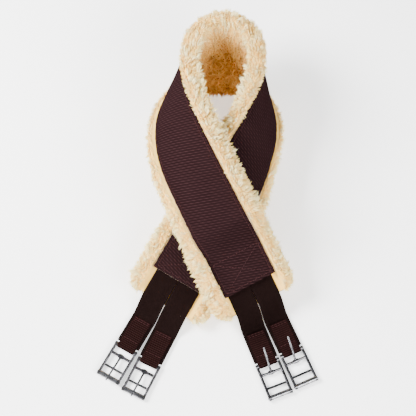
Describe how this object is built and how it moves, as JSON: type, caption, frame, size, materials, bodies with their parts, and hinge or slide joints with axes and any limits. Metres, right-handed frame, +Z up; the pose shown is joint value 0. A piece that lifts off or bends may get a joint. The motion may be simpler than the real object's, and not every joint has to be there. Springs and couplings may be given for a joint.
{
  "type": "saddle girth",
  "caption": "Fleece lined saddle girth, folded into a loop, with elastic straps that end in roller buckles.",
  "frame": {"origin": "middle of the footprint, on the surface that the folded girth lies on", "axes": "+X right, +Y from the buckles to the loop, +Z up"},
  "size_m": [0.2944, 0.5176, 0.1599],
  "materials": {
    "webbing": "dark brown twill webbing",
    "fleece": "cream deep pile fleece",
    "backing": "cream woven backing",
    "foam": "soft foam",
    "elastic": "near black brown ribbed elastic",
    "tab_webbing": "reddish brown ribbed webbing",
    "thread": "twisted thread",
    "buckle_steel": "polished stainless steel",
    "roller_steel": "polished stainless steel tube"
  },
  "bodies": {
    "root": {"webbing_cover": "webbing", "fleece_backing": "backing", "foam_core": "foam", "fleece_lining": "fleece", "edge_stitching": "thread", "box_stitching_near": "thread", "box_stitching_off": "thread", "elastic_strap_near_outer": "elastic", "elastic_strap_near_inner": "elastic", "elastic_strap_off_inner": "elastic", "elastic_strap_off_outer": "elastic"},
    "strap_end_near_outer": {"buckle_tab_near_outer": "tab_webbing", "tab_stitching_near_outer": "thread"},
    "buckle_near_outer": {"buckle_frame_near_outer": "buckle_steel"},
    "tongue_near_outer": {"buckle_tongue_near_outer": "buckle_steel"},
    "roller_near_outer": {"buckle_roller_near_outer": "roller_steel"},
    "strap_end_near_inner": {"buckle_tab_near_inner": "tab_webbing", "tab_stitching_near_inner": "thread"},
    "buckle_near_inner": {"buckle_frame_near_inner": "buckle_steel"},
    "tongue_near_inner": {"buckle_tongue_near_inner": "buckle_steel"},
    "roller_near_inner": {"buckle_roller_near_inner": "roller_steel"},
    "strap_end_off_inner": {"buckle_tab_off_inner": "tab_webbing", "tab_stitching_off_inner": "thread"},
    "buckle_off_inner": {"buckle_frame_off_inner": "buckle_steel"},
    "tongue_off_inner": {"buckle_tongue_off_inner": "buckle_steel"},
    "roller_off_inner": {"buckle_roller_off_inner": "roller_steel"},
    "strap_end_off_outer": {"buckle_tab_off_outer": "tab_webbing", "tab_stitching_off_outer": "thread"},
    "buckle_off_outer": {"buckle_frame_off_outer": "buckle_steel"},
    "tongue_off_outer": {"buckle_tongue_off_outer": "buckle_steel"},
    "roller_off_outer": {"buckle_roller_off_outer": "roller_steel"}
  },
  "joints": [
    {"name": "elastic_stretch_near_outer", "type": "slide", "parent": "root", "child": "strap_end_near_outer", "axis": [0.3632, -0.9317, 0], "range_m": [0, 0.02], "stiffness_N_per_m": 2500, "deforming": ["elastic_strap_near_outer"]},
    {"name": "buckle_hinge_near_outer", "type": "hinge", "parent": "strap_end_near_outer", "child": "buckle_near_outer", "pos_m": [0.07982, -0.20747, 0.0041], "axis": [-0.9317, -0.3632, 0], "range_deg": [-90, 30]},
    {"name": "tongue_hinge_near_outer", "type": "hinge", "parent": "buckle_near_outer", "child": "tongue_near_outer", "pos_m": [0.08454, -0.21958, 0.0041], "axis": [-0.9317, -0.3632, 0], "range_deg": [-130, 10]},
    {"name": "roller_spin_near_outer", "type": "hinge", "parent": "buckle_near_outer", "child": "roller_near_outer", "pos_m": [0.09617, -0.24939, 0.0041], "axis": [-0.9317, -0.3632, 0], "continuous": true},
    {"name": "elastic_stretch_near_inner", "type": "slide", "parent": "root", "child": "strap_end_near_inner", "axis": [0.402, -0.9156, 0], "range_m": [0, 0.02], "stiffness_N_per_m": 2500, "deforming": ["elastic_strap_near_inner"]},
    {"name": "buckle_hinge_near_inner", "type": "hinge", "parent": "strap_end_near_inner", "child": "buckle_near_inner", "pos_m": [0.11221, -0.19235, 0.0041], "axis": [-0.9156, -0.402, 0], "range_deg": [-90, 30]},
    {"name": "tongue_hinge_near_inner", "type": "hinge", "parent": "buckle_near_inner", "child": "tongue_near_inner", "pos_m": [0.11744, -0.20426, 0.0041], "axis": [-0.9156, -0.402, 0], "range_deg": [-130, 10]},
    {"name": "roller_spin_near_inner", "type": "hinge", "parent": "buckle_near_inner", "child": "roller_near_inner", "pos_m": [0.1303, -0.23356, 0.0041], "axis": [-0.9156, -0.402, 0], "continuous": true},
    {"name": "elastic_stretch_off_inner", "type": "slide", "parent": "root", "child": "strap_end_off_inner", "axis": [-0.4954, -0.8687, 0], "range_m": [0, 0.02], "stiffness_N_per_m": 2500, "deforming": ["elastic_strap_off_inner"]},
    {"name": "buckle_hinge_off_inner", "type": "hinge", "parent": "strap_end_off_inner", "child": "buckle_off_inner", "pos_m": [-0.10848, -0.18697, 0.0041], "axis": [-0.8687, 0.4954, 0], "range_deg": [-90, 30]},
    {"name": "tongue_hinge_off_inner", "type": "hinge", "parent": "buckle_off_inner", "child": "tongue_off_inner", "pos_m": [-0.11492, -0.19826, 0.0041], "axis": [-0.8687, 0.4954, 0], "range_deg": [0, 140]},
    {"name": "roller_spin_off_inner", "type": "hinge", "parent": "buckle_off_inner", "child": "roller_off_inner", "pos_m": [-0.13077, -0.22606, 0.0041], "axis": [-0.8687, 0.4954, 0], "continuous": true},
    {"name": "elastic_stretch_off_outer", "type": "slide", "parent": "root", "child": "strap_end_off_outer", "axis": [-0.4431, -0.8965, 0], "range_m": [0, 0.02], "stiffness_N_per_m": 2500, "deforming": ["elastic_strap_off_outer"]},
    {"name": "buckle_hinge_off_outer", "type": "hinge", "parent": "strap_end_off_outer", "child": "buckle_off_outer", "pos_m": [-0.07758, -0.20718, 0.0041], "axis": [-0.8965, 0.4431, 0], "range_deg": [-90, 30]},
    {"name": "tongue_hinge_off_outer", "type": "hinge", "parent": "buckle_off_outer", "child": "tongue_off_outer", "pos_m": [-0.08334, -0.21883, 0.0041], "axis": [-0.8965, 0.4431, 0], "range_deg": [0, 140]},
    {"name": "roller_spin_off_outer", "type": "hinge", "parent": "buckle_off_outer", "child": "roller_off_outer", "pos_m": [-0.09752, -0.24752, 0.0041], "axis": [-0.8965, 0.4431, 0], "continuous": true}
  ]
}
